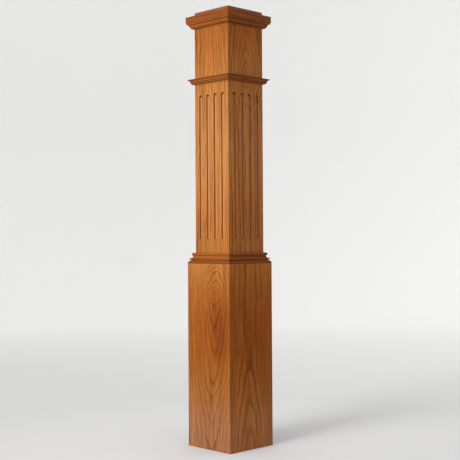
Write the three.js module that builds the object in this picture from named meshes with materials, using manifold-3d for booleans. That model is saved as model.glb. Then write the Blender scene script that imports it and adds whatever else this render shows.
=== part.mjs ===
// A box newel post: a hollow square post of mitred oak boards, with a wider boxed foot, a fluted shaft,
// a plain block for the handrail and a flat moulded cap.
// Sizes are in millimetres, +Z is up, and the origin is at the middle of the underside.

import * as THREE from 'three';
import { mergeVertices } from 'three/addons/utils/BufferGeometryUtils.js';
import Module from 'manifold-3d';

// Driving dimensions: widths and thicknesses
const SHAFT_WIDTH = 128;
const SHAFT_WALL = 19;
const BASE_WIDTH = 158.8;
const CAP_BOARD_WIDTH = 161.8;
const CAP_PLATE_WIDTH = 127.5;
const CAP_PLATE_CHAMFER = 1;
const JOINT_GAP = 0.3;
const RAIL_FACE_MARGIN = 1;

// Driving dimensions: heights above the floor
const BASE_TOP = 486;
const BASE_CAP_TOP = 514.5;
const FLUTE_BOTTOM = 550;
const FLUTE_TOP = 933.5;
const NECK_BOTTOM = 963.6;
const NECK_TOP = 977.5;
const CAP_MOULDING_BOTTOM = 1113;
const CAP_BOARD_BOTTOM = 1127.7;
const CAP_BOARD_TOP = 1144.6;
const POST_TOP = 1156.5;

// Driving dimensions: flutes
const FLUTES_PER_FACE = 4;
const FLUTE_PITCH = 28;
const FLUTE_WIDTH = 10.5;
const FLUTE_DEPTH = 4.6;
const FLUTE_BED_RADIUS = 1;

// Driving dimensions: base-cap moulding, as distances out from the shaft's face and up from the base's top
const OVOLO_HEIGHT = 8;
const OVOLO_WIDTH = 6.4;
const NOSE_REACH = 12.6;
const NOSE_BOTTOM = 11.6;
const NOSE_TOP = 13.6;
const QUIRK_HEIGHT = 1.2;
const BEAD_RADIUS = 4;
const BEAD_START = THREE.MathUtils.degToRad(-75);

// Driving dimensions: crown mouldings at the neck and under the cap, as distances out from the shaft's face
const NECK_REACH = 14;
const CAP_MOULDING_REACH = 15.8;

// The crown's section, as shares of its own reach and of its own height
const CROWN_FOOT_REACH = 0.33;
const CROWN_OVOLO_REACH = 0.5;
const CROWN_STEP_REACH = 0.66;
const CROWN_HOLLOW_REACH = 0.71;
const CROWN_FILLET_REACH = 0.93;
const CROWN_OVOLO_BEND = 0.14;
const CROWN_OVOLO_TOP = 0.46;
const CROWN_STEP_TOP = 0.53;
const CROWN_HOLLOW_BEND = 0.74;
const CROWN_FILLET_BOTTOM = 0.8;

// Finish
const BOARD_COLOUR = 0xb87236;
const MOULDING_COLOUR = 0x9c5a2b;
const BOARD_ROUGHNESS = 0.42;
const MOULDING_ROUGHNESS = 0.38;

// Roundness of curves
const CURVE_STEPS = 6;
const FLUTE_END_STEPS = 4;
const FLUTE_BED_STEPS = 2;

const SHAFT_HALF = SHAFT_WIDTH / 2;
const BASE_REACH = (BASE_WIDTH - SHAFT_WIDTH) / 2;
const MITRE_INSET = JOINT_GAP / Math.SQRT2;
const SIDES = ['front', 'right', 'back', 'left'];

const wasm = await Module();
wasm.setup();

const boardFinish = new THREE.MeshStandardMaterial({
  color: BOARD_COLOUR, roughness: BOARD_ROUGHNESS, metalness: 0,
});
const mouldingFinish = new THREE.MeshStandardMaterial({
  color: MOULDING_COLOUR, roughness: MOULDING_ROUGHNESS, metalness: 0,
});

function toSolid(geometry) {
  const bare = new THREE.BufferGeometry();
  bare.setAttribute('position', geometry.attributes.position);
  if (geometry.index) bare.setIndex(geometry.index);
  const welded = mergeVertices(bare);
  return new wasm.Manifold(new wasm.Mesh({
    numProp: 3,
    vertProperties: new Float32Array(welded.attributes.position.array),
    triVerts: new Uint32Array(welded.index.array),
  }));
}

function toGeometry(solid) {
  const mesh = solid.getMesh();
  const geometry = new THREE.BufferGeometry();
  geometry.setAttribute('position', new THREE.BufferAttribute(mesh.vertProperties, mesh.numProp));
  geometry.setIndex(new THREE.BufferAttribute(mesh.triVerts, 1));
  const faceted = geometry.toNonIndexed();
  faceted.computeVertexNormals();
  return faceted;
}

// A length of stock along the front of the post, mitred at both corners.
// The section's x is the distance out from the shaft's face, and its y is the height above the floor.
function mitredLength(section) {
  const geometry = new THREE.ExtrudeGeometry(section, {
    depth: 1, bevelEnabled: false, curveSegments: CURVE_STEPS,
  });
  const position = geometry.attributes.position;
  for (let i = 0; i < position.count; i += 1) {
    const reach = SHAFT_HALF + position.getX(i);
    const end = 1 - 2 * position.getZ(i);
    position.setXYZ(i, end * (reach - MITRE_INSET), -reach, position.getY(i));
  }
  geometry.computeVertexNormals();
  return geometry;
}

function rectangle(innerReach, outerReach, bottom, top) {
  const section = new THREE.Shape();
  section.moveTo(innerReach, bottom);
  section.lineTo(outerReach, bottom);
  section.lineTo(outerReach, top);
  section.lineTo(innerReach, top);
  section.closePath();
  return section;
}

// A steep-sided groove with round ends and rounded bed corners, sunk into the front face.
// Its cutter stands out of the face by the radius of those corners.
function fluteCutter(x) {
  const half = FLUTE_WIDTH / 2;
  const outline = new THREE.Shape();
  outline.absarc(0, FLUTE_TOP - half, half, 0, Math.PI, false);
  outline.absarc(0, FLUTE_BOTTOM + half, half, Math.PI, 2 * Math.PI, false);
  outline.closePath();
  const cutter = new THREE.ExtrudeGeometry(outline, {
    depth: FLUTE_DEPTH,
    curveSegments: FLUTE_END_STEPS,
    bevelSize: FLUTE_BED_RADIUS,
    bevelThickness: FLUTE_BED_RADIUS,
    bevelOffset: -FLUTE_BED_RADIUS,
    bevelSegments: FLUTE_BED_STEPS,
  });
  cutter.rotateX(Math.PI / 2);
  cutter.translate(x, FLUTE_DEPTH - FLUTE_BED_RADIUS - SHAFT_HALF, 0);
  return toSolid(cutter);
}

// A shaft board is joined from three stretches, so that the plain face that a handrail meets,
// a little clear of the mouldings above and below it, is a face of its own.
function shaftBoard() {
  const railBottom = NECK_TOP + RAIL_FACE_MARGIN;
  const railTop = CAP_MOULDING_BOTTOM - RAIL_FACE_MARGIN;
  const levels = [0, railBottom, railTop, CAP_BOARD_BOTTOM - JOINT_GAP];
  let board = null;
  for (let i = 1; i < levels.length; i += 1) {
    const stretch = toSolid(mitredLength(rectangle(-SHAFT_WALL, 0, levels[i - 1], levels[i])));
    board = board ? board.add(stretch) : stretch;
  }
  for (let i = 0; i < FLUTES_PER_FACE; i += 1) {
    const x = (i - (FLUTES_PER_FACE - 1) / 2) * FLUTE_PITCH;
    board = board.subtract(fluteCutter(x));
  }
  return toGeometry(board);
}

function baseBoard() {
  return mitredLength(rectangle(JOINT_GAP, BASE_REACH, 0, BASE_TOP));
}

// Ovolo, quirk, nose, cove and bead, from the edge of the base up to the shaft.
function baseCapMoulding() {
  const quirkReach = BASE_REACH - OVOLO_WIDTH;
  const bottom = BASE_TOP + JOINT_GAP;
  const beadX = BEAD_RADIUS + JOINT_GAP;
  const beadY = BASE_CAP_TOP - BEAD_RADIUS;
  const beadFootX = beadX + BEAD_RADIUS * Math.cos(BEAD_START);
  const beadFootY = beadY + BEAD_RADIUS * Math.sin(BEAD_START);
  const section = new THREE.Shape();
  section.moveTo(JOINT_GAP, bottom);
  section.lineTo(BASE_REACH, bottom);
  section.absellipse(quirkReach, bottom, OVOLO_WIDTH, OVOLO_HEIGHT, 0, Math.PI / 2, false, 0);
  section.lineTo(quirkReach, bottom + OVOLO_HEIGHT + QUIRK_HEIGHT);
  section.lineTo(NOSE_REACH, BASE_TOP + NOSE_BOTTOM);
  section.lineTo(NOSE_REACH, BASE_TOP + NOSE_TOP);
  section.quadraticCurveTo(beadFootX, BASE_TOP + NOSE_TOP, beadFootX, beadFootY);
  section.absarc(beadX, beadY, BEAD_RADIUS, BEAD_START, Math.PI / 2, false);
  section.lineTo(JOINT_GAP, BASE_CAP_TOP);
  section.closePath();
  return mitredLength(section);
}

// Flat ovolo, step, hollow and fillet, standing out further towards the top.
function crownMoulding(bottom, top, reach) {
  const level = (share) => bottom + share * (top - bottom);
  const out = (share) => share * reach;
  const section = new THREE.Shape();
  section.moveTo(JOINT_GAP, bottom);
  section.lineTo(out(CROWN_FOOT_REACH), bottom);
  section.quadraticCurveTo(
    out(CROWN_OVOLO_REACH), level(CROWN_OVOLO_BEND),
    out(CROWN_STEP_REACH), level(CROWN_OVOLO_TOP),
  );
  section.lineTo(out(CROWN_STEP_REACH), level(CROWN_STEP_TOP));
  section.quadraticCurveTo(
    out(CROWN_HOLLOW_REACH), level(CROWN_HOLLOW_BEND),
    out(CROWN_FILLET_REACH), level(CROWN_FILLET_BOTTOM),
  );
  section.lineTo(reach, level(CROWN_FILLET_BOTTOM));
  section.lineTo(reach, top);
  section.lineTo(JOINT_GAP, top);
  section.closePath();
  return mitredLength(section);
}

function capBoard() {
  const thickness = CAP_BOARD_TOP - CAP_BOARD_BOTTOM;
  const board = new THREE.BoxGeometry(CAP_BOARD_WIDTH, CAP_BOARD_WIDTH, thickness);
  board.translate(0, 0, CAP_BOARD_BOTTOM + thickness / 2);
  return board;
}

// A four-sided frustum on a square slab: the plate with its chamfered top edge.
function capPlate() {
  const half = CAP_PLATE_WIDTH / 2;
  const bottom = CAP_BOARD_TOP + JOINT_GAP;
  const rim = [
    new THREE.Vector2(0, bottom),
    new THREE.Vector2(half, bottom),
    new THREE.Vector2(half, POST_TOP - CAP_PLATE_CHAMFER),
    new THREE.Vector2(half - CAP_PLATE_CHAMFER, POST_TOP),
    new THREE.Vector2(0, POST_TOP),
  ].map((point) => new THREE.Vector2(point.x * Math.SQRT2, point.y));
  const plate = new THREE.LatheGeometry(rim, SIDES.length, Math.PI / SIDES.length);
  plate.rotateX(Math.PI / 2);
  return toGeometry(toSolid(plate));
}

// The pieces that go round the post, one on each side
const rings = [
  { name: 'shaft_board', geometry: shaftBoard(), material: boardFinish },
  { name: 'base_board', geometry: baseBoard(), material: boardFinish },
  { name: 'base_cap_moulding', geometry: baseCapMoulding(), material: mouldingFinish },
  {
    name: 'neck_moulding',
    geometry: crownMoulding(NECK_BOTTOM, NECK_TOP, NECK_REACH),
    material: mouldingFinish,
  },
  {
    name: 'cap_moulding',
    geometry: crownMoulding(CAP_MOULDING_BOTTOM, CAP_BOARD_BOTTOM - JOINT_GAP, CAP_MOULDING_REACH),
    material: mouldingFinish,
  },
];

function addPiece(group, name, geometry, material) {
  const mesh = new THREE.Mesh(geometry, material);
  mesh.name = name;
  group.add(mesh);
}

const post = new THREE.Group();
SIDES.forEach((side, turn) => {
  const face = new THREE.Group();
  face.rotation.z = turn * Math.PI / 2;
  rings.forEach((ring) => addPiece(face, `${ring.name}_${side}`, ring.geometry, ring.material));
  post.add(face);
});
addPiece(post, 'cap_board', capBoard(), mouldingFinish);
addPiece(post, 'cap_plate', capPlate(), mouldingFinish);

export default post;
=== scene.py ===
# The looks of a box newel post: finely shaped oak pieces that stand for the frame's solids, with eased edges,
# smooth flutes and mouldings, and a procedural oak under a satin varnish.
# Shapes, lights and camera are in metres. The wood's figure and tones are in millimetres.

import math
from dataclasses import dataclass

import bmesh
import bpy
from mathutils import Matrix, Vector


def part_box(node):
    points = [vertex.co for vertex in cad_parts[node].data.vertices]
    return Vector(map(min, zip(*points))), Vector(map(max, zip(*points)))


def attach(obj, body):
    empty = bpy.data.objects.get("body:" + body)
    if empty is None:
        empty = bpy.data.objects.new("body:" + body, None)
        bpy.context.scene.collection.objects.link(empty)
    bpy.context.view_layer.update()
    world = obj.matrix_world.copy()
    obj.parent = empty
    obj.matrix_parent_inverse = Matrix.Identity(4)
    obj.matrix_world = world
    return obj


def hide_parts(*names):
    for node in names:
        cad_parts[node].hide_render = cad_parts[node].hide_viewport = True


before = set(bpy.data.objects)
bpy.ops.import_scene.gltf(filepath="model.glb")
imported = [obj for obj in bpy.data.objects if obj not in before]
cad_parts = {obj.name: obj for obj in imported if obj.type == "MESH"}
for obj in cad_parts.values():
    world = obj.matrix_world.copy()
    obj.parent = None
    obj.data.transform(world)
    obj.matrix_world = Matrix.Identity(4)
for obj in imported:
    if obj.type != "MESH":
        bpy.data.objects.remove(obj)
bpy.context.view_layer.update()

MM = 0.001
SIDES = ("front", "right", "back", "left")
QUARTER_TURN = math.radians(90)

# Sizes read from the frame
shaft_low, shaft_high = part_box("shaft_board_front")
base_low, base_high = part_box("base_board_front")
_, base_cap_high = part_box("base_cap_moulding_front")
neck_low, neck_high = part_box("neck_moulding_front")
cap_moulding_low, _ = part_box("cap_moulding_front")
cap_board_low, cap_board_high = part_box("cap_board")
cap_plate_low, cap_plate_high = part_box("cap_plate")

SHAFT_HALF = -shaft_low.y
SHAFT_WALL = shaft_high.y - shaft_low.y
SHAFT_TOP = cap_board_low.z
BASE_REACH = -base_low.y - SHAFT_HALF
BASE_TOP = base_high.z
BASE_CAP_TOP = base_cap_high.z
NECK_REACH = -neck_low.y - SHAFT_HALF
CAP_MOULDING_REACH = -cap_moulding_low.y - SHAFT_HALF

# Flutes
FLUTES_PER_FACE = 4
FLUTE_PITCH = 28 * MM
FLUTE_WIDTH = 10.5 * MM
FLUTE_DEPTH = 4.6 * MM
FLUTE_BOTTOM = 550 * MM
FLUTE_TOP = 933.5 * MM
FLUTE_BED_RADIUS = 3 * MM
FLUTE_ARRIS = 0.6 * MM
FLUTE_MARGIN = 8 * MM
FLUTE_BED_STEPS = 6
FLUTE_HALF_END_STEPS = 10

# Base-cap moulding: distances out from the shaft's face and up from the base's top
OVOLO_HEIGHT = 8 * MM
OVOLO_WIDTH = 6.4 * MM
NOSE_REACH = 12.6 * MM
NOSE_BOTTOM = 11.6 * MM
NOSE_TOP = 13.6 * MM
QUIRK_HEIGHT = 1.2 * MM
BEAD_RADIUS = 4 * MM
BEAD_START = math.radians(-75)

# Crown mouldings at the neck and under the cap: shares of their own reach and of their own height
CROWN_FOOT_REACH = 0.33
CROWN_OVOLO_REACH = 0.5
CROWN_STEP_REACH = 0.66
CROWN_HOLLOW_REACH = 0.71
CROWN_FILLET_REACH = 0.93
CROWN_OVOLO_BEND = 0.14
CROWN_OVOLO_TOP = 0.46
CROWN_STEP_TOP = 0.53
CROWN_HOLLOW_BEND = 0.74
CROWN_FILLET_BOTTOM = 0.8

# Eased edges and joints
BOARD_CORNER = 0.7 * MM
MOULDING_CORNER = 0.5 * MM
BOARD_EASE = 0.5 * MM
MOULDING_EASE = 0.45 * MM
CROWN_TOP_EASE = 0.9 * MM
CAP_EASE = 0.35 * MM
CAP_BOARD_CHAMFER = 1.2 * MM
CAP_PLATE_CHAMFER = 1 * MM
ROUND_PROFILE = 0.5
MITRE_GAP = 0.03 * MM
WELD = 1e-7
CORNER_STEPS = 4
EASE_STEPS = 3
CURVE_STEPS = 14
SHARP_ANGLE = math.radians(50)
FLAT_SIDE = 0.999


class Shell:
    """Collects polygons that share corners, and marks those on an eased edge.
    Points are along the front face, outwards as -Y, and up."""

    def __init__(self):
        self.mesh = bmesh.new()
        self.corners = {}
        self.edge = self.mesh.faces.layers.float.new("edge")

    def corner(self, point):
        key = tuple(round(value / WELD) for value in point)
        if key not in self.corners:
            self.corners[key] = self.mesh.verts.new(point)
        return self.corners[key]

    def face(self, points, mark=0.0):
        corners = list(dict.fromkeys(self.corner(point) for point in points))
        if len(corners) > 2:
            self.mesh.faces.new(corners)[self.edge] = mark

    def mark_slopes(self):
        """Marks the faces of a box that lie on none of its six sides."""
        self.mesh.normal_update()
        for face in self.mesh.faces:
            face[self.edge] = float(max(abs(value) for value in face.normal) < FLAT_SIDE)


# Sections

def bent_point(start, knee, end, share):
    """The point at this share of a curve from start to end, drawn towards the knee."""
    return start.lerp(knee, share).lerp(knee.lerp(end, share), share)


def eased(outline):
    """Rounds the corners of a closed outline of (reach, height, radius). Radius 0 keeps a corner as it is."""
    result = []
    for index, (reach, height, radius) in enumerate(outline):
        if radius == 0:
            result.append((reach, height))
            continue
        corner = Vector((reach, height))
        before = Vector(outline[index - 1][:2])
        after = Vector(outline[(index + 1) % len(outline)][:2])
        start = corner + (before - corner).normalized() * radius
        end = corner + (after - corner).normalized() * radius
        for step in range(EASE_STEPS + 1):
            result.append(tuple(bent_point(start, corner, end, step / EASE_STEPS)))
    return result


def arc(centre, radii, start, end):
    """Points of an ellipse's arc between two angles, with radius 0."""
    points = []
    for step in range(CURVE_STEPS + 1):
        angle = start + (end - start) * step / CURVE_STEPS
        reach = centre[0] + radii[0] * math.cos(angle)
        height = centre[1] + radii[1] * math.sin(angle)
        points.append((reach, height, 0))
    return points


def bend(start, knee, end):
    """Points of a curve between two points, drawn towards the knee, with radius 0."""
    places = Vector(start), Vector(knee), Vector(end)
    return [(*bent_point(*places, step / CURVE_STEPS), 0) for step in range(CURVE_STEPS + 1)]


def stations():
    """Where a mitred length is sampled, as (side, turn): left mitre, flat face, right mitre."""
    turns = [QUARTER_TURN / 2 * step / CORNER_STEPS for step in range(CORNER_STEPS + 1)]
    return [(-1, turn) for turn in reversed(turns)] + [(1, turn) for turn in turns]


def swept_point(reach, height, side, turn, corner):
    """A point of a section, carried along the face and round its share of the post's eased corner."""
    flat = SHAFT_HALF + reach - corner
    along = flat + corner * math.sin(turn) - MITRE_GAP
    return Vector((side * along, -flat - corner * math.cos(turn), height))


def sweep(shell, outline, corner, open_rows=()):
    """A mitred length with this closed outline of (reach, height).
    The rows of the outline in open_rows are left without their flat face."""
    places = stations()
    middle = CORNER_STEPS
    rows = [[swept_point(*point, *place, corner) for place in places] for point in outline]
    for index, row in enumerate(rows):
        after = rows[(index + 1) % len(rows)]
        for column in range(len(places) - 1):
            if column == middle and index in open_rows:
                continue
            mark = 0.0 if column == middle else 1.0
            shell.face((row[column], row[column + 1], after[column + 1], after[column]), mark)
    shell.face([row[0] for row in rows])
    shell.face([row[-1] for row in reversed(rows)])


# Shaft boards with their flutes

def flute_rings():
    """Half-widths and depths across a flute: eased arris, straight wall, rounded corner, flat bed, middle."""
    half = FLUTE_WIDTH / 2
    rings = []
    for step in range(EASE_STEPS + 1):
        angle = QUARTER_TURN * step / EASE_STEPS
        rings.append((half + FLUTE_ARRIS * (1 - math.sin(angle)), FLUTE_ARRIS * (1 - math.cos(angle))))
    for step in range(FLUTE_BED_STEPS + 1):
        angle = QUARTER_TURN * step / FLUTE_BED_STEPS
        rings.append((half - FLUTE_BED_RADIUS * (1 - math.cos(angle)),
                      FLUTE_DEPTH - FLUTE_BED_RADIUS * (1 - math.sin(angle))))
    rings.append((0.0, FLUTE_DEPTH))
    return rings


def flute_levels():
    """Heights of a flute's patch: its lower edge, the two centres of its round ends, its upper edge."""
    half = FLUTE_WIDTH / 2
    return FLUTE_BOTTOM - FLUTE_MARGIN, FLUTE_BOTTOM + half, FLUTE_TOP - half, FLUTE_TOP + FLUTE_MARGIN


def on_shaft_face(across, height):
    return Vector((across, -SHAFT_HALF, height))


def flute(shell, centre):
    """One flute, with the patch of flat face round it."""
    low, first, last, high = flute_levels()
    left, right = centre - FLUTE_PITCH / 2, centre + FLUTE_PITCH / 2
    rings = flute_rings()

    def line_across(level, end, angle):
        """Points from the flute's edge to its middle, at an angle round its upper (1) or lower (-1) end."""
        points = []
        for half, depth in rings:
            height = level + end * half * math.sin(angle)
            points.append(Vector((centre + half * math.cos(angle), depth - SHAFT_HALF, height)))
        return points

    def strip(line, after):
        """The hollow between two such lines."""
        for index, (_, depth) in enumerate(rings[1:]):
            mark = 1.0 if depth <= FLUTE_ARRIS else 0.0
            shell.face((line[index], after[index], after[index + 1], line[index + 1]), mark)

    angles = [QUARTER_TURN * step / FLUTE_HALF_END_STEPS for step in range(2 * FLUTE_HALF_END_STEPS + 1)]
    ends = []
    for level, end, far in ((last, 1, high), (first, -1, low)):
        lines = [line_across(level, end, angle) for angle in angles]
        for index, (line, after) in enumerate(zip(lines, lines[1:])):
            strip(line, after)
            side = right if index < FLUTE_HALF_END_STEPS else left
            shell.face((line[0], after[0], on_shaft_face(side, far)))
        tip = lines[FLUTE_HALF_END_STEPS][0]
        shell.face((tip, on_shaft_face(left, far), on_shaft_face(right, far)))
        for side, side_line in ((right, lines[0]), (left, lines[-1])):
            shell.face((side_line[0], on_shaft_face(side, far), on_shaft_face(side, level)))
        ends.append(lines)
    upper, lower = ends
    for side, line, after in ((right, upper[0], lower[0]), (left, upper[-1], lower[-1])):
        strip(line, after)
        shell.face((line[0], after[0], on_shaft_face(side, first), on_shaft_face(side, last)))


def fluted_face(shell, bottom, top):
    """The flat of a shaft board's outer face between two heights, with its flutes."""
    levels = flute_levels()
    flat = SHAFT_HALF - BOARD_CORNER - MITRE_GAP
    half_span = FLUTES_PER_FACE * FLUTE_PITCH / 2
    borders = [FLUTE_PITCH * index - half_span for index in range(FLUTES_PER_FACE + 1)]
    for border in borders[:-1]:
        flute(shell, border + FLUTE_PITCH / 2)
    for side in (-1, 1):
        outer, inner = side * flat, side * half_span
        for low, high in zip(levels, levels[1:]):
            corners = ((outer, low), (inner, low), (inner, high), (outer, high))
            shell.face([on_shaft_face(*corner) for corner in corners])
    for level, far in ((levels[0], bottom), (levels[-1], top)):
        corners = [(across, level) for across in (-flat, *borders, flat)] + [(flat, far), (-flat, far)]
        shell.face([on_shaft_face(*corner) for corner in corners])


def shaft_board():
    shell = Shell()
    levels = flute_levels()
    outline = eased([(-SHAFT_WALL, 0, 0), (0, 0, BOARD_EASE), *((0, level, 0) for level in levels),
                     (0, SHAFT_TOP, 0), (-SHAFT_WALL, SHAFT_TOP, 0)])
    first = outline.index((0, levels[0]))
    bottom = outline[first - 1][1]
    sweep(shell, outline, BOARD_CORNER, open_rows=range(first - 1, first + len(levels)))
    fluted_face(shell, bottom, SHAFT_TOP)
    return shell


# Base boards, mouldings and cap

def base_board():
    shell = Shell()
    outline = eased([(MITRE_GAP, 0, 0), (BASE_REACH, 0, BOARD_EASE),
                     (BASE_REACH, BASE_TOP, MOULDING_EASE), (MITRE_GAP, BASE_TOP, 0)])
    sweep(shell, outline, BOARD_CORNER)
    return shell


def base_cap_moulding():
    """Ovolo, quirk, nose, cove and bead, from the edge of the base up to the shaft."""
    shell = Shell()
    quirk = BASE_REACH - OVOLO_WIDTH
    nose_bottom, nose_top = BASE_TOP + NOSE_BOTTOM, BASE_TOP + NOSE_TOP
    bead_centre = (BEAD_RADIUS, BASE_CAP_TOP - BEAD_RADIUS)
    bead = arc(bead_centre, (BEAD_RADIUS, BEAD_RADIUS), BEAD_START, QUARTER_TURN)
    cove_end = bead[0][:2]
    outline = [(MITRE_GAP, BASE_TOP, 0)]
    outline += arc((quirk, BASE_TOP), (OVOLO_WIDTH, OVOLO_HEIGHT), 0, QUARTER_TURN)
    outline += [(quirk, BASE_TOP + OVOLO_HEIGHT + QUIRK_HEIGHT, 0)]
    outline += [(NOSE_REACH, nose_bottom, MOULDING_EASE), (NOSE_REACH, nose_top, MOULDING_EASE)]
    outline += bend((NOSE_REACH - MOULDING_EASE, nose_top), (cove_end[0], nose_top), cove_end)
    outline += bead + [(MITRE_GAP, BASE_CAP_TOP, 0)]
    sweep(shell, eased(outline), MOULDING_CORNER)
    return shell


def crown_moulding(bottom, top, reach):
    """Flat ovolo, step, hollow and fillet, standing out further towards the top."""
    shell = Shell()

    def at(reach_share, height_share):
        return reach_share * reach, bottom + height_share * (top - bottom)

    outline = [(MITRE_GAP, bottom, 0)]
    outline += bend(at(CROWN_FOOT_REACH, 0), at(CROWN_OVOLO_REACH, CROWN_OVOLO_BEND),
                    at(CROWN_STEP_REACH, CROWN_OVOLO_TOP))
    outline += bend(at(CROWN_STEP_REACH, CROWN_STEP_TOP), at(CROWN_HOLLOW_REACH, CROWN_HOLLOW_BEND),
                    at(CROWN_FILLET_REACH, CROWN_FILLET_BOTTOM))
    outline += [(*at(1, CROWN_FILLET_BOTTOM), MOULDING_EASE), (*at(1, 1), CROWN_TOP_EASE)]
    outline += [(MITRE_GAP, top, 0)]
    sweep(shell, eased(outline), MOULDING_CORNER)
    return shell


def neck_moulding():
    return crown_moulding(neck_low.z, neck_high.z, NECK_REACH)


def cap_moulding():
    return crown_moulding(cap_moulding_low.z, SHAFT_TOP, CAP_MOULDING_REACH)


def slab(low, high, chamfer, upper):
    """A square board: its upper or lower rim is chamfered, then every edge is eased."""
    shell = Shell()
    size, centre = high - low, (low + high) / 2
    bmesh.ops.create_cube(shell.mesh, matrix=Matrix.Translation(centre) @ Matrix.Diagonal((*size, 1)))
    rim = [edge for edge in shell.mesh.edges if all((end.co.z > centre.z) == upper for end in edge.verts)]
    bmesh.ops.bevel(shell.mesh, geom=rim, offset=chamfer, segments=1, profile=ROUND_PROFILE, affect="EDGES")
    bmesh.ops.bevel(shell.mesh, geom=shell.mesh.edges[:], offset=CAP_EASE, segments=EASE_STEPS,
                    profile=ROUND_PROFILE, affect="EDGES")
    shell.mark_slopes()
    return shell


def cap_board():
    return slab(cap_board_low, cap_board_high, CAP_BOARD_CHAMFER, upper=False)


def cap_plate():
    low = Vector((*cap_plate_low.xy, cap_board_high.z))
    return slab(low, cap_plate_high, CAP_PLATE_CHAMFER, upper=True)


# Directions of the grain: across, along and into the wood, in millimetres

def shaft_grain(point, _):
    return point.x / MM, point.z / MM, (point.y + SHAFT_HALF) / MM


def base_grain(point, _):
    return point.x / MM, point.z / MM, (point.y + SHAFT_HALF + BASE_REACH) / MM


def moulding_grain(point, _):
    """The grain of a moulding runs along the face."""
    return point.z / MM, point.x / MM, (point.y + SHAFT_HALF) / MM


def cap_grain(point, normal):
    """The grain of a cap piece lies level on every side, and from left to right on top."""
    if abs(normal.z) > max(abs(normal.x), abs(normal.y)):
        return point.y / MM, point.x / MM, (cap_plate_high.z - point.z) / MM
    if abs(normal.x) > abs(normal.y):
        return point.z / MM, point.y / MM, (cap_board_high.x - abs(point.x)) / MM
    return point.z / MM, point.x / MM, (cap_board_high.y - abs(point.y)) / MM


def add_piece(name, shell, grain, turn, shift, material):
    """Makes the shell an object on its side of the post, in the place of the node of the same name.
    shift moves it along the grain, so that pieces with one figure show different wood."""
    bmesh.ops.recalc_face_normals(shell.mesh, faces=shell.mesh.faces[:])
    shell.mesh.normal_update()
    layer = shell.mesh.loops.layers.float_vector.new("grain")
    for face in shell.mesh.faces:
        for loop in face.loops:
            across, along, into = grain(loop.vert.co, face.normal)
            loop[layer] = (across, along + shift, into)
    mesh = bpy.data.meshes.new(name + "_finished")
    shell.mesh.to_mesh(mesh)
    shell.mesh.free()
    mesh.transform(Matrix.Rotation(turn, 4, "Z"))
    mesh.polygons.foreach_set("use_smooth", [True] * len(mesh.polygons))
    mesh.set_sharp_from_angle(angle=SHARP_ANGLE)
    mesh.materials.append(material)
    piece = bpy.data.objects.new(name + "_finished", mesh)
    bpy.context.scene.collection.objects.link(piece)
    normals = piece.modifiers.new("flat_faces", "WEIGHTED_NORMAL")
    normals.keep_sharp = True
    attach(piece, "root")
    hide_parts(name)


# Oak

@dataclass
class Figure:
    """How a board was cut from its log: where the middle of its growth rings runs, at its foot and its head,
    and how deep the heart lies behind the face at several heights, all in millimetres.
    seed sets its noise apart from that of other boards, ring is the space between rings, phase where the
    first one lies, uneven how much the spaces differ, wander how far the rings stray, and reach how far to
    each side of their middle they show clearly."""
    centre_foot: float
    centre_head: float
    depths: tuple
    seed: float
    ring: float = 7.0
    phase: float = 0.0
    uneven: float = 1.6
    wander: float = 5.0
    reach: float = 200.0


@dataclass
class Tone:
    """Colours of late wood, early wood and pores, the pores' colour also being that of painted shade, and how
    the tone runs along the piece from end to end.
    """
    late: tuple
    early: tuple
    pore_and_shade: tuple
    run: tuple = ((0.0, (1.0, 1.0, 1.0)),)


# Where noise starts for a seed, as shares of it across, along and into the wood
SEED_SPREAD = (1.0, 0.7, 1.3)

# Places of the two colours and of the result on a mix node
MIX_COLOURS = (6, 7)
MIX_RESULT = 2


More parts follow.
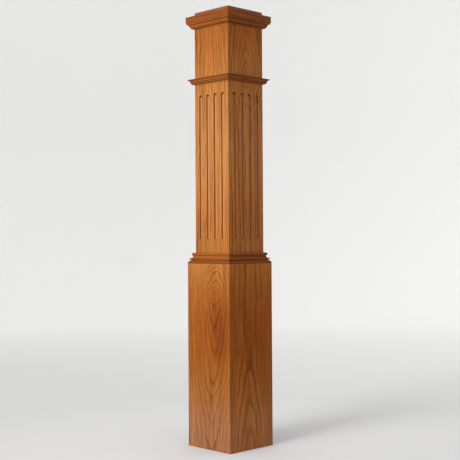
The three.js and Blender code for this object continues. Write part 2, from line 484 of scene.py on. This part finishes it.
class Steps:
    """Adds nodes to one material and links them, one step at a time."""

    def __init__(self, material):
        self.tree = material.node_tree
        self.nodes = self.tree.nodes

    def put(self, socket, value):
        if isinstance(value, bpy.types.NodeSocket):
            self.tree.links.new(value, socket)
        else:
            socket.default_value = value

    def math(self, operation, *values):
        node = self.nodes.new("ShaderNodeMath")
        node.operation = operation
        for socket, value in zip(node.inputs, values):
            self.put(socket, value)
        return node.outputs[0]

    def scaled(self, vector, factors, offset):
        node = self.nodes.new("ShaderNodeVectorMath")
        node.operation = "MULTIPLY_ADD"
        for socket, value in zip(node.inputs, (vector, factors, offset)):
            self.put(socket, value)
        return node.outputs[0]

    def length(self, vector):
        node = self.nodes.new("ShaderNodeVectorMath")
        node.operation = "LENGTH"
        self.put(node.inputs[0], vector)
        return node.outputs["Value"]

    def noise(self, vector, lengths, seed, detail=2.0, roughness=0.5):
        """Noise whose grains measure these lengths in millimetres across, along and into the wood."""
        node = self.nodes.new("ShaderNodeTexNoise")
        node.inputs["Scale"].default_value = 1.0
        node.inputs["Detail"].default_value = detail
        node.inputs["Roughness"].default_value = roughness
        factors = tuple(1.0 / length for length in lengths)
        offset = tuple(seed * share for share in SEED_SPREAD)
        self.put(node.inputs["Vector"], self.scaled(vector, factors, offset))
        return node.outputs["Fac"]

    def noise_line(self, value, seed):
        node = self.nodes.new("ShaderNodeTexNoise")
        node.noise_dimensions = "1D"
        node.inputs["Scale"].default_value = 1.0
        node.inputs["Detail"].default_value = 1.0
        self.put(node.inputs["W"], self.math("ADD", value, seed))
        return node.outputs["Fac"]

    def chance(self, value, seed):
        node = self.nodes.new("ShaderNodeTexWhiteNoise")
        node.noise_dimensions = "1D"
        self.put(node.inputs["W"], self.math("ADD", value, seed))
        return node.outputs["Value"]

    def ranged(self, value, low, high, to_low=0.0, to_high=1.0):
        node = self.nodes.new("ShaderNodeMapRange")
        for name, number in (("From Min", low), ("From Max", high), ("To Min", to_low), ("To Max", to_high)):
            node.inputs[name].default_value = number
        self.put(node.inputs["Value"], value)
        return node.outputs["Result"]

    def curve(self, value, points, smooth):
        node = self.nodes.new("ShaderNodeFloatCurve")
        line = node.mapping.curves[0]
        for point, place in zip(line.points, (points[0], points[-1])):
            point.location = place
        for place in points[1:-1]:
            line.points.new(*place)
        for point in line.points:
            point.handle_type = "AUTO" if smooth else "VECTOR"
        node.mapping.update()
        self.put(node.inputs["Value"], value)
        return node.outputs["Value"]

    def ramp(self, value, stops):
        node = self.nodes.new("ShaderNodeValToRGB")
        elements = node.color_ramp.elements
        while len(elements) > 1:
            elements.remove(elements[-1])
        for index, (place, colour) in enumerate(stops):
            element = elements.new(place) if index else elements[0]
            element.position = place
            element.color = (*colour, 1)
        self.put(node.inputs["Fac"], value)
        return node.outputs["Color"]

    def mixed(self, factor, first, second, blend="MIX"):
        node = self.nodes.new("ShaderNodeMix")
        node.data_type = "RGBA"
        node.blend_type = blend
        self.put(node.inputs["Factor"], factor)
        for place, colour in zip(MIX_COLOURS, (first, second)):
            self.put(node.inputs[place], colour)
        return node.outputs[MIX_RESULT]

    def attribute(self, name, output):
        node = self.nodes.new("ShaderNodeAttribute")
        node.attribute_name = name
        return node.outputs[output]

    def split(self, vector):
        node = self.nodes.new("ShaderNodeSeparateXYZ")
        self.put(node.inputs[0], vector)
        return node.outputs[:3]

    def bump(self, height, strength, depth):
        node = self.nodes.new("ShaderNodeBump")
        node.inputs["Strength"].default_value = strength
        node.inputs["Distance"].default_value = depth
        self.put(node.inputs["Height"], height)
        return node.outputs["Normal"]


# Lengths of the boards
SHAFT_LENGTH = SHAFT_TOP / MM
BASE_LENGTH = BASE_TOP / MM

# Sizes of what shows in the wood, across, along and into it
WANDER_SIZE = (70, 160, 70)
WOBBLE_SIZE = (9, 50, 9)
PORE_SIZE = (0.45, 9, 0.45)
FIBRE_SIZE = (0.9, 40, 0.9)
STREAK_SIZE = (2.6, 120, 2.6)
CLOUD_SIZE = (26, 220, 26)
WEAR_AND_HIGHLIGHT_SIZE = (3, 14, 3)

# What each noise adds to the seed of its board
WOBBLE_SEED = 3
PORE_SEED = 5
STREAK_SEED = 7
FIBRE_SEED = 9
CLOUD_SEED = 11
WEAR_AND_HIGHLIGHT_SEED = 13

# Range of noise that is used, and its detail where it is fine
NOISE_LOW, NOISE_HIGH = 0.3, 0.7
FINE_DETAIL = 3.0
FINE_ROUGHNESS = 0.6

# The darkest and the lightest share of the wood's colour
STREAK_SHADES = (0.72, 1.24)
FIBRE_SHADES = (0.82, 1.16)
CLOUD_SHADES = (0.88, 1.12)

# Growth rings: how strongly a year shows, at how many times their reach the rings have faded, to what share,
# and how dark a year is from its start to its end
RING_STRENGTH = (0.4, 1.0)
RING_FADE_END = 2
RING_FADED = 0.35
RING_SHADE = ((0, 0), (0.06, 1), (0.16, 0.75), (0.4, 0.25), (0.7, 0.06), (1, 0))

# Shape of the rings: how pointed they are (2 is round), how far they wobble, over how many years their spaces
# differ, and the greatest depth of a heart
RING_POINT = 1.45
WOBBLE = 1.3
UNEVEN_YEARS = 2.5
DEPTH_SPAN = 150.0

# Pores, fewer in late wood than in early wood, and paler worn edges that are partly a painted highlight
PORE_RANGE = (0.53, 0.66)
PORES_IN_YEAR = (0.25, 1.0)
PORE_SHARE = 0.6
WEAR_AND_HIGHLIGHT_RANGE = (0.35, 0.7)
WEAR_AND_HIGHLIGHT_SHARE = 0.35
WORN_OAK_AND_HIGHLIGHT = (0.36, 0.15, 0.055, 1)

# Painted shading of the flutes, by depth: painted shade makes their walls and upper ends darker, and painted
# light makes their beds paler
WALL_DEPTHS = (0.5, 1.2)
WALL_PAINTED_SHADE_SHARE = 0.38
BED_DEPTHS = (3.4, 4.4)
BED_PAINTED_LIGHT_SHARE = 0.45
BED_PAINTED_LIGHT = (0.42, 0.19, 0.085, 1)
END_DEPTHS = (0.8, 3.0)
END_REACH = 7.0
END_PAINTED_SHADE_SHARE = 0.75

# Dark streak of heartwood on the front of the base: its middle and its reach, across and along,
# and the share of that reach where it is darkest
HEART_MIDDLE = (42, 318)
HEART_REACH = (46, 118)
HEART_CORE = 0.3
HEART_SHADE = (0.75, 0.63, 0.5, 1)

# Painted shade along the joint of the base and the moulding on it: heights above the base where it is none
# and full
JOINT_SHADE_HEIGHTS = (8.5, 4.0)
JOINT_SHADE_SHARE = 0.5

# Painted shade and painted highlights as dark and light lines along the crown mouldings, by share of their
# height: 0.5 leaves the wood as it is
NECK_PAINTED_LINES = ((0, 0.5), (0.02, 0.3), (0.1, 0.3), (0.18, 0.45), (0.28, 0.4), (0.34, 0.0), (0.48, 0.0),
              (0.56, 0.85), (0.7, 0.85), (0.78, 0.05), (0.97, 0.05), (1, 0.5))
CAP_PAINTED_LINES = ((0, 0.5), (0.02, 0.2), (0.14, 0.2), (0.32, 0.7), (0.46, 0.85), (0.55, 0.05), (0.7, 0.05),
             (0.78, 1), (0.86, 1), (0.9, 0), (0.99, 0), (1, 0.5))
PAINTED_LINE_SHADES = (0.62, 1.38)

# Varnish, and the relief under it: shares of the bump's depth
ROUGHNESS = (0.42, 0.52)
PORE_ROUGHNESS = 0.2
SPECULAR_LEVEL = 0.05
COAT_WEIGHT = 0.03
COAT_ROUGHNESS = 0.3
BUMP_STRENGTH = 0.35
BUMP_DEPTH = 0.25 * MM
PORE_RELIEF = -1.0
EARLY_RELIEF = -0.35
FIBRE_RELIEF = 0.25


def ring_distance(steps, grain, share, figure):
    """Distance from the heart of the log and distance across from it, wandering as real rings do.
    The rings come to a slight point where they cross the middle of the board."""
    across, _, into = steps.split(grain)
    centre = steps.ranged(share, 0.0, 1.0, figure.centre_foot, figure.centre_head)
    length = figure.depths[-1][0]
    points = [(height / length, depth / DEPTH_SPAN) for height, depth in figure.depths]
    depth = steps.math("MULTIPLY_ADD", steps.curve(share, points, smooth=False), DEPTH_SPAN, into)
    stray = steps.noise(grain, WANDER_SIZE, figure.seed)
    stray = steps.ranged(stray, NOISE_LOW, NOISE_HIGH, -figure.wander, figure.wander)
    offset = steps.math("ABSOLUTE", steps.math("ADD", steps.math("SUBTRACT", across, centre), stray))
    powers = [steps.math("POWER", value, RING_POINT) for value in (offset, depth)]
    distance = steps.math("POWER", steps.math("ADD", *powers), 1 / RING_POINT)
    wobble = steps.noise(grain, WOBBLE_SIZE, figure.seed + WOBBLE_SEED)
    wobble = steps.ranged(wobble, NOISE_LOW, NOISE_HIGH, -WOBBLE, WOBBLE)
    return steps.math("ADD", distance, wobble), offset


def growth_rings(steps, distance, offset, figure):
    """How far a point lies in the dark early wood of its year, and how strongly that year shows."""
    uneven = steps.noise_line(steps.math("DIVIDE", distance, figure.ring * UNEVEN_YEARS), figure.seed)
    count = steps.math("ADD", steps.math("DIVIDE", distance, figure.ring), figure.phase)
    count = steps.math("MULTIPLY_ADD", uneven, figure.uneven, count)
    strength = steps.ranged(steps.chance(steps.math("FLOOR", count), figure.seed), 0.0, 1.0, *RING_STRENGTH)
    fade = steps.ranged(offset, figure.reach, RING_FADE_END * figure.reach, 1.0, RING_FADED)
    year = steps.curve(steps.math("FRACT", count), RING_SHADE, smooth=True)
    return year, steps.math("MULTIPLY", strength, fade)


def flute_painted_shading(steps, colour, grain, tone):
    """Painted shade darkens a flute's walls, and most of all its upper end, and painted light makes its bed
    paler.
    """
    _, along, into = steps.split(grain)
    bed = steps.ranged(into, *BED_DEPTHS)
    wall = steps.math("SUBTRACT", steps.ranged(into, *WALL_DEPTHS), bed)
    # Painted shade on the walls, in the dark colour of the pores
    colour = steps.mixed(steps.math("MULTIPLY", wall, WALL_PAINTED_SHADE_SHARE), colour, tone.pore_and_shade)
    # Painted light on the bed
    colour = steps.mixed(steps.math("MULTIPLY", bed, BED_PAINTED_LIGHT_SHARE), colour, BED_PAINTED_LIGHT)
    # Painted shade at the upper end, in the dark colour of the pores
    top = FLUTE_TOP / MM
    end = steps.ranged(along, top - END_REACH, top - END_REACH / 2, 0.0, END_PAINTED_SHADE_SHARE)
    return steps.mixed(steps.math("MULTIPLY", end, steps.ranged(into, *END_DEPTHS)), colour, tone.pore_and_shade)


def heart_streak(steps, colour, grain, _):
    """A darker, redder streak of heartwood that fades out round its middle."""
    squares = []
    for place, middle, reach in zip(steps.split(grain), HEART_MIDDLE, HEART_REACH):
        share = steps.math("DIVIDE", steps.math("SUBTRACT", place, middle), reach)
        squares.append(steps.math("POWER", share, 2.0))
    distance = steps.math("SQRT", steps.math("ADD", *squares))
    fade = steps.ranged(distance, HEART_CORE, 1.0, 1.0, 0.0)
    return steps.mixed(fade, colour, HEART_SHADE, "MULTIPLY")


def moulding_painted_shading(steps, colour, grain, tone):
    """Painted shade along the joint with the base and in the quirks and hollows of the crown mouldings.
    Painted highlights in lines on the crown mouldings."""
    height = steps.split(grain)[0]
    above = steps.math("SUBTRACT", height, BASE_LENGTH)
    # Painted shade along the joint with the base, in the dark colour of the pores
    colour = steps.mixed(steps.ranged(above, *JOINT_SHADE_HEIGHTS, 0.0, JOINT_SHADE_SHARE), colour, tone.pore_and_shade)
    # Painted shade and painted highlights in lines along the two crown mouldings
    crowns = ((neck_low.z, neck_high.z, NECK_PAINTED_LINES), (cap_moulding_low.z, SHAFT_TOP, CAP_PAINTED_LINES))
    for low, high, lines in crowns:
        line = steps.curve(steps.ranged(height, low / MM, high / MM), lines, smooth=False)
        colour = steps.mixed(1.0, colour, steps.ranged(line, 0.0, 1.0, *PAINTED_LINE_SHADES), "MULTIPLY")
    return colour


def shaded(steps, colour, noise, shades):
    """The colour made darker and lighter by a noise."""
    return steps.mixed(1.0, colour, steps.ranged(noise, NOISE_LOW, NOISE_HIGH, *shades), "MULTIPLY")


def varnish(steps, colour, roughness, relief):
    """A satin varnish that lets the relief of the wood show."""
    shader = steps.nodes["Principled BSDF"]
    steps.put(shader.inputs["Base Color"], colour)
    steps.put(shader.inputs["Roughness"], roughness)
    steps.put(shader.inputs["Normal"], steps.bump(relief, BUMP_STRENGTH, BUMP_DEPTH))
    shader.inputs["Specular IOR Level"].default_value = SPECULAR_LEVEL
    shader.inputs["Coat Weight"].default_value = COAT_WEIGHT
    shader.inputs["Coat Roughness"].default_value = COAT_ROUGHNESS


def oak(name, figure, tone, local_tone=None):
    """Red oak under a satin varnish: growth rings, pores, fibres, worn edges that are partly a painted
    highlight, and slow changes of tone that are partly painted light and shade.
    local_tone, where given, adds what only this kind of piece shows."""
    material = bpy.data.materials.new(name)
    material.use_nodes = True
    steps = Steps(material)
    grain = steps.attribute("grain", "Vector")
    share = steps.ranged(steps.split(grain)[1], 0.0, figure.depths[-1][0])

    distance, offset = ring_distance(steps, grain, share, figure)
    year, strength = growth_rings(steps, distance, offset, figure)
    early = steps.math("MULTIPLY", year, strength)
    pores = steps.ranged(steps.noise(grain, PORE_SIZE, figure.seed + PORE_SEED), *PORE_RANGE)
    pores = steps.math("MULTIPLY", pores, steps.ranged(year, 0.0, 1.0, *PORES_IN_YEAR))
    streaks = steps.noise(grain, STREAK_SIZE, figure.seed + STREAK_SEED, FINE_DETAIL, FINE_ROUGHNESS)
    fibres = steps.noise(grain, FIBRE_SIZE, figure.seed + FIBRE_SEED, FINE_DETAIL, FINE_ROUGHNESS)
    cloud = steps.noise(grain, CLOUD_SIZE, figure.seed + CLOUD_SEED)
    wear_and_highlight = steps.noise(grain, WEAR_AND_HIGHLIGHT_SIZE, figure.seed + WEAR_AND_HIGHLIGHT_SEED)
    wear_and_highlight = steps.ranged(wear_and_highlight, *WEAR_AND_HIGHLIGHT_RANGE, 0.0, WEAR_AND_HIGHLIGHT_SHARE)

    colour = steps.mixed(early, tone.late, tone.early)
    for noise, shades in ((streaks, STREAK_SHADES), (fibres, FIBRE_SHADES), (cloud, CLOUD_SHADES)):
        colour = shaded(steps, colour, noise, shades)
    colour = steps.mixed(1.0, colour, steps.ramp(share, tone.run), "MULTIPLY")
    colour = steps.mixed(steps.math("MULTIPLY", pores, PORE_SHARE), colour, tone.pore_and_shade)
    if local_tone:
        colour = local_tone(steps, colour, grain, tone)
    # Paler worn edges, partly wear and partly a painted highlight along the edges
    colour = steps.mixed(steps.math("MULTIPLY", steps.attribute("edge", "Fac"), wear_and_highlight), colour, WORN_OAK_AND_HIGHLIGHT)

    roughness = steps.ranged(fibres, NOISE_LOW, NOISE_HIGH, *ROUGHNESS)
    roughness = steps.math("MULTIPLY_ADD", pores, PORE_ROUGHNESS, roughness)
    relief = steps.math("MULTIPLY_ADD", pores, PORE_RELIEF, steps.math("MULTIPLY", early, EARLY_RELIEF))
    relief = steps.math("MULTIPLY_ADD", fibres, FIBRE_RELIEF, relief)
    varnish(steps, colour, roughness, relief)
    return material


# Tones of the pieces: the boards and mouldings at the front and back are paler, at the right and left redder,
# partly the wood's own colour and partly painted light on the front and back and painted shade on the right
# and left

# Along the shaft the tone is partly the wood's own and partly painted light and shade, darkest under the cap
SHAFT_RUN = ((0.45, (0.91, 0.79, 0.6)), (0.52, (0.885, 0.725, 0.51)), (0.6, (0.96, 0.88, 0.73)),
             (0.69, (1.0, 1.0, 1.0)), (0.8, (0.94, 0.865, 0.76)), (0.87, (0.92, 0.84, 0.71)),
             (0.95, (0.765, 0.595, 0.35)))
SHAFT_PORE_AND_SHADE = (0.079, 0.0205, 0.00474, 1)
PALE_SHAFT_TONE = Tone((0.345, 0.143, 0.0385, 1), (0.182, 0.0585, 0.0135, 1), SHAFT_PORE_AND_SHADE, SHAFT_RUN)
RED_SHAFT_TONE = Tone((0.35, 0.137, 0.0355, 1), (0.19, 0.058, 0.0128, 1), SHAFT_PORE_AND_SHADE, SHAFT_RUN)
SHAFT_TONES = dict(zip(SIDES, (PALE_SHAFT_TONE, RED_SHAFT_TONE) * 2))

# Along the base the tone is partly the wood's own and partly painted light and shade: paler near the floor
# and at its top, darker in its middle
BASE_RUN = ((0.0, (0.96, 1.0, 1.0)), (0.15, (0.96, 0.985, 0.91)), (0.27, (0.9, 0.81, 0.45)),
            (0.4, (0.81, 0.65, 0.2)), (0.55, (0.785, 0.545, 0.11)), (0.72, (0.76, 0.53, 0.145)),
            (0.88, (0.84, 0.7, 0.27)), (1.0, (0.96, 0.91, 0.43)))
BASE_PORE = (0.0758, 0.0205, 0.00474, 1)
PALE_BASE_TONE = Tone((0.313, 0.122, 0.0521, 1), (0.165, 0.0514, 0.0174, 1), BASE_PORE, BASE_RUN)
RED_BASE_TONE = Tone((0.312, 0.109, 0.034, 1), (0.164, 0.0455, 0.0112, 1), BASE_PORE, BASE_RUN)
BASE_TONES = dict(zip(SIDES, (PALE_BASE_TONE, RED_BASE_TONE) * 2))
BASE_LOCAL_TONES = {"front": heart_streak}

MOULDING_PORE_AND_SHADE = (0.0569, 0.0142, 0.00237, 1)
PALE_MOULDING_TONE = Tone((0.223, 0.065, 0.0105, 1), (0.13, 0.0315, 0.0048, 1), MOULDING_PORE_AND_SHADE)
RED_MOULDING_TONE = Tone((0.186, 0.0506, 0.00711, 1), (0.103, 0.0237, 0.00316, 1), MOULDING_PORE_AND_SHADE)
MOULDING_TONES = dict(zip(SIDES, (PALE_MOULDING_TONE, RED_MOULDING_TONE) * 2))

CAP_TONE = Tone((0.175, 0.0475, 0.0068, 1), (0.1, 0.0235, 0.0031, 1), (0.0505, 0.0126, 0.0019, 1))
PLATE_TONE = Tone((0.2, 0.08, 0.027, 1), (0.12, 0.042, 0.0125, 1), (0.055, 0.018, 0.006, 1))

# Figures of the pieces: the four mouldings of a ring lie one after another along one strip of wood

MOULDINGS = {
    "base_cap_moulding": base_cap_moulding,
    "neck_moulding": neck_moulding,
    "cap_moulding": cap_moulding,
}
MOULDING_SPAN = 160.0
CAP_BOARD_SHIFT = 81.0
CAP_PLATE_SHIFT = 120.0

SHAFT_FIGURES = {
    "front": Figure(centre_foot=-96, centre_head=-74, seed=2.1, wander=9,
                    depths=((0, 64), (550, 76), (900, 66), (SHAFT_LENGTH, 72))),
    "right": Figure(centre_foot=12, centre_head=1, seed=7.4, ring=11.0, phase=0.45, uneven=0.3, wander=3,
                    depths=((0, 60), (550, 57), (890, 56), (930, 38), (985, 6), (1052, 28),
                            (SHAFT_LENGTH, 42))),
    "back": Figure(centre_foot=10, centre_head=-14, seed=12.7,
                   depths=((0, 84), (420, 60), (800, 38), (SHAFT_LENGTH, 30))),
    "left": Figure(centre_foot=-26, centre_head=30, seed=17.9, wander=8,
                   depths=((0, 96), (500, 84), (SHAFT_LENGTH, 70))),
}
BASE_FIGURES = {
    "front": Figure(centre_foot=9, centre_head=31, seed=3.3, ring=11.0, phase=0.5, uneven=0.0, reach=30,
                    depths=((0, 94), (74.5, 82.5), (144, 71.5), (176, 60.5), (260, 49.5), (325, 38.5),
                            (381, 27.5), (396, 16.5), (414, 2), (425, 16.5), (439, 27.5), (465, 38.5),
                            (477, 49.5), (BASE_LENGTH, 55))),
    "right": Figure(centre_foot=-9, centre_head=-1, seed=23.1, ring=11.0, phase=0.455, uneven=0.0, reach=28,
                    depths=((0, 44), (45, 50), (119, 61), (212, 72), (300, 76), (BASE_LENGTH, 78))),
    "back": Figure(centre_foot=-6, centre_head=12, seed=31.6,
                   depths=((0, 90), (240, 64), (BASE_LENGTH, 46))),
    "left": Figure(centre_foot=34, centre_head=22, seed=37.2, wander=8,
                   depths=((0, 66), (200, 80), (BASE_LENGTH, 88))),
}
MOULDING_FIGURE = Figure(centre_foot=-40, centre_head=30, seed=43.5, ring=3.5, wander=3,
                         depths=((0, 52), (300, 70), (len(SIDES) * MOULDING_SPAN, 60)))
CAP_FIGURE = Figure(centre_foot=-6, centre_head=6, seed=51.3, ring=3.8, wander=3,
                    depths=((0, 40), (100, 52), (200, 60)))


def build_side(index, side):
    """The five pieces on one side of the post."""
    turn = QUARTER_TURN * index
    shift = MOULDING_SPAN * (index + 0.5)
    shaft_oak = oak(f"shaft_oak_{side}", SHAFT_FIGURES[side], SHAFT_TONES[side], flute_painted_shading)
    base_oak = oak(f"base_oak_{side}", BASE_FIGURES[side], BASE_TONES[side], BASE_LOCAL_TONES.get(side))
    moulding_oak = oak(f"moulding_oak_{side}", MOULDING_FIGURE, MOULDING_TONES[side], moulding_painted_shading)
    add_piece(f"shaft_board_{side}", shaft_board(), shaft_grain, turn, 0.0, shaft_oak)
    add_piece(f"base_board_{side}", base_board(), base_grain, turn, 0.0, base_oak)
    for name, make in MOULDINGS.items():
        add_piece(f"{name}_{side}", make(), moulding_grain, turn, shift, moulding_oak)


def build_post():
    cap_oak = oak("cap_oak", CAP_FIGURE, CAP_TONE)
    plate_oak = oak("plate_oak", CAP_FIGURE, PLATE_TONE)
    for index, side in enumerate(SIDES):
        build_side(index, side)
    add_piece("cap_board", cap_board(), cap_grain, 0.0, CAP_BOARD_SHIFT, cap_oak)
    add_piece("cap_plate", cap_plate(), cap_grain, 0.0, CAP_PLATE_SHIFT, plate_oak)


# Stage

FLOOR_RADIUS = 3.6
WALL_BEND = 1.4
WALL_TOP = 3.4
STAGE_SIDES = 96
FLOOR_GREY = (0.585, 0.585, 0.58, 1)
FLOOR_GREY_RADIUS = 0.8
WALL_GREY = (0.92, 0.92, 0.915, 1)
PAPER_ROUGHNESS = 0.8
PAPER_SPECULAR_LEVEL = 0.1


def stage_paper():
    """Matt paper, a little greyer on the floor round the post than on the wall."""
    material = bpy.data.materials.new("floor_paper")
    material.use_nodes = True
    steps = Steps(material)
    place = steps.nodes.new("ShaderNodeTexCoord").outputs["Object"]
    rise = steps.ranged(steps.length(place), FLOOR_GREY_RADIUS, FLOOR_RADIUS)
    shader = steps.nodes["Principled BSDF"]
    steps.put(shader.inputs["Base Color"], steps.mixed(rise, FLOOR_GREY, WALL_GREY))
    shader.inputs["Roughness"].default_value = PAPER_ROUGHNESS
    shader.inputs["Specular IOR Level"].default_value = PAPER_SPECULAR_LEVEL
    return material


def stage_profile():
    """Distances from the post and heights: flat floor, bend, upright wall."""
    profile = [(0.0, 0.0), (FLOOR_RADIUS, 0.0)]
    for step in range(1, CURVE_STEPS + 1):
        angle = QUARTER_TURN * step / CURVE_STEPS
        profile.append((FLOOR_RADIUS + WALL_BEND * math.sin(angle), WALL_BEND * (1 - math.cos(angle))))
    profile.append((FLOOR_RADIUS + WALL_BEND, WALL_TOP))
    return profile


def stage_point(radius, height, angle):
    return Vector((radius * math.cos(angle), radius * math.sin(angle), height))


def build_stage():
    """A pale floor that curves up into a pale wall all round, well outside every camera."""
    shell = Shell()
    profile = stage_profile()
    angles = [math.tau * index / STAGE_SIDES for index in range(STAGE_SIDES)]
    for angle, after in zip(angles, angles[1:] + angles[:1]):
        for (near, low), (far, high) in zip(profile, profile[1:]):
            corners = ((near, low, angle), (far, high, angle), (far, high, after), (near, low, after))
            shell.face([stage_point(*corner) for corner in corners])
    mesh = bpy.data.meshes.new("floor")
    shell.mesh.to_mesh(mesh)
    shell.mesh.free()
    mesh.polygons.foreach_set("use_smooth", [True] * len(mesh.polygons))
    mesh.materials.append(stage_paper())
    floor = bpy.data.objects.new("floor", mesh)
    bpy.context.scene.collection.objects.link(floor)


# Light

@dataclass
class SoftBox:
    """A soft light turned towards the post at the height of its target.
    Azimuth 0 is in front of the front face, and grows to the right."""
    name: str
    azimuth: float
    height: float
    target: float
    size: tuple
    power: float


SOFT_BOXES = (
    SoftBox("key", azimuth=math.radians(3), height=2.6, target=0.6, size=(1.2, 1.2), power=7),
    SoftBox("fill", azimuth=0.0, height=0.8, target=0.8, size=(1.6, 0.8), power=8.5),
)
SOFT_BOX_DISTANCE = 2.6
SOFT_BOX_SPREAD = math.radians(60)
SURROUND_WHITE = (1.0, 1.0, 1.0, 1)
SURROUND_STRENGTH = 1.0


def add_light(box):
    data = bpy.data.lights.new(box.name, "AREA")
    data.shape = "RECTANGLE"
    data.size, data.size_y = box.size
    data.energy = box.power
    data.spread = SOFT_BOX_SPREAD
    light = bpy.data.objects.new(box.name, data)
    light.location = (SOFT_BOX_DISTANCE * math.sin(box.azimuth),
                      -SOFT_BOX_DISTANCE * math.cos(box.azimuth), box.height)
    aim = Vector((0, 0, box.target)) - light.location
    light.rotation_euler = aim.to_track_quat("-Z", "Y").to_euler()
    light.visible_camera = False
    bpy.context.scene.collection.objects.link(light)


def build_lights():
    """Two soft boxes in an even white surround."""
    world = bpy.data.worlds.new("studio")
    bpy.context.scene.world = world
    world.use_nodes = True
    background = world.node_tree.nodes["Background"]
    background.inputs["Color"].default_value = SURROUND_WHITE
    background.inputs["Strength"].default_value = SURROUND_STRENGTH
    for box in SOFT_BOXES:
        add_light(box)


# Camera, at the place that the outline in the photograph gives, with its angles in radians

IMAGE_WIDTH = 460
FOCAL_PIXELS = 982.54
SENSOR_WIDTH = 36.0
CAMERA_DISTANCE = 2.6288
CAMERA_HEIGHT = 0.5545
CAMERA_AZIMUTH = math.radians(45.868)
CAMERA_PAN = 0.0005
CAMERA_PITCH = 0.0077
CAMERA_ROLL = -0.006


def build_camera():
    data = bpy.data.cameras.new("camera")
    data.sensor_width = SENSOR_WIDTH
    data.lens = FOCAL_PIXELS * SENSOR_WIDTH / IMAGE_WIDTH
    camera = bpy.data.objects.new("camera", data)
    place = Matrix.Translation((CAMERA_DISTANCE * math.sin(CAMERA_AZIMUTH),
                                -CAMERA_DISTANCE * math.cos(CAMERA_AZIMUTH), CAMERA_HEIGHT))
    heading = Matrix.Rotation(CAMERA_AZIMUTH - CAMERA_PAN, 4, "Z")
    tilt = Matrix.Rotation(QUARTER_TURN + CAMERA_PITCH, 4, "X")
    roll = Matrix.Rotation(CAMERA_ROLL, 4, "Z")
    camera.matrix_world = place @ heading @ tilt @ roll
    bpy.context.scene.collection.objects.link(camera)
    bpy.context.scene.camera = camera


bpy.context.scene.view_settings.view_transform = "Standard"
build_camera()
build_stage()
build_lights()
build_post()
